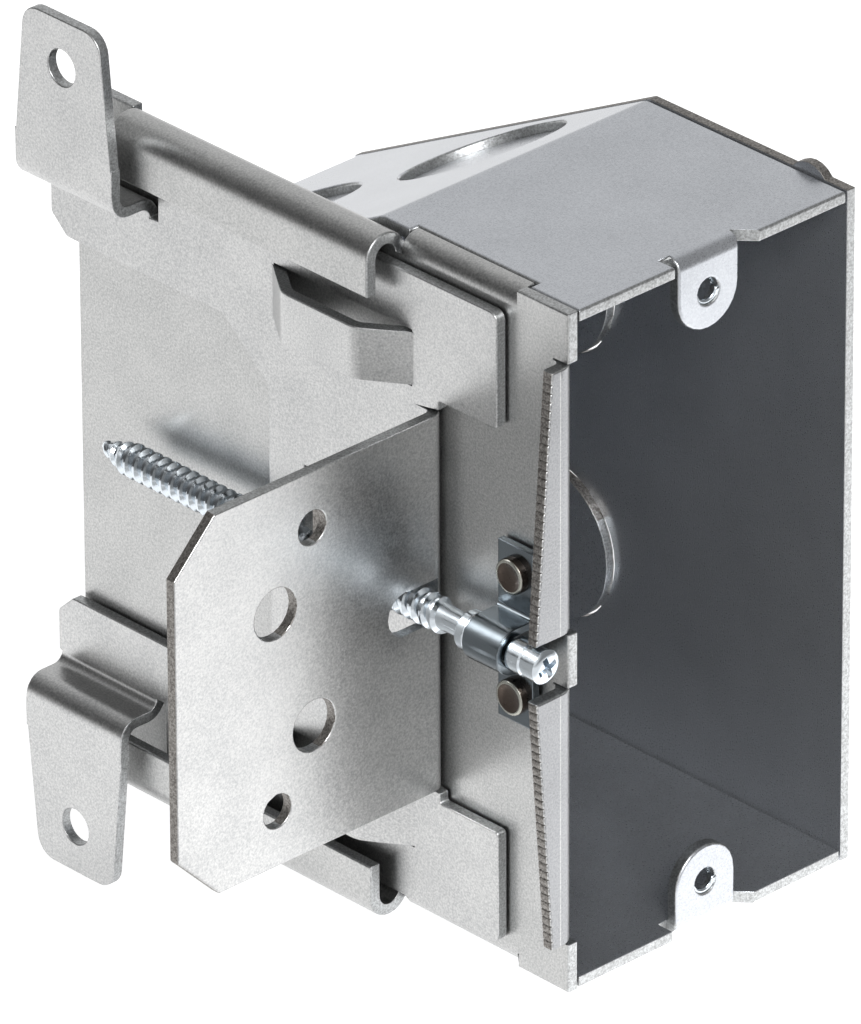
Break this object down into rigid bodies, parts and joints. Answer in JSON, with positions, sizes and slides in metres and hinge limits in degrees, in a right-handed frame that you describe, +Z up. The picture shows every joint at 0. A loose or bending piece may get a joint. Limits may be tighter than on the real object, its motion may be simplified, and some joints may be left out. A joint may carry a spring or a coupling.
{
  "type": "adjustable steel outlet box",
  "caption": "Steel outlet box that slides on a nailed side bracket, set for depth by a captive screw, with device tabs and knockouts.",
  "frame": {"origin": "on the back of the nailing flange, between its nail holes and level with the middle of the box", "axes": "+Y into the wall, square to the stud's front face, +Z up, +X from the stud to the box"},
  "size_m": [0.0955, 0.093, 0.122],
  "materials": {
    "bracket_sheet": "matt zinc coated sheet",
    "wall_sheet": "matt zinc coated sheet",
    "shell_sheet": "satin zinc coated sheet",
    "bright_zinc": "bright zinc plate",
    "rivet_steel": "dull, heat tinted steel"
  },
  "bodies": {
    "bracket": {"slide_bracket": "bracket_sheet"},
    "box": {"mount_side_wall": "wall_sheet", "box_shell": "shell_sheet", "far_side_wall": "shell_sheet", "screw_keeper": "bright_zinc", "keeper_rivet_upper": "rivet_steel", "keeper_rivet_lower": "rivet_steel"},
    "screw": {"adjusting_screw": "bright_zinc", "screw_collar": "bright_zinc"}
  },
  "joints": [
    {"name": "depth_slide", "type": "slide", "parent": "bracket", "child": "box", "axis": [0, -1, 0], "range_m": [-0.0075, 0.019]},
    {"name": "screw_turn", "type": "hinge", "parent": "box", "child": "screw", "pos_m": [0.0214, -0.0227, 0.0007], "axis": [0, -1, 0], "range_deg": [-1599, 4048]}
  ],
  "couplings": [
    {"joint": "screw_turn", "follows": "depth_slide", "rad_per_m": 3717.9}
  ]
}
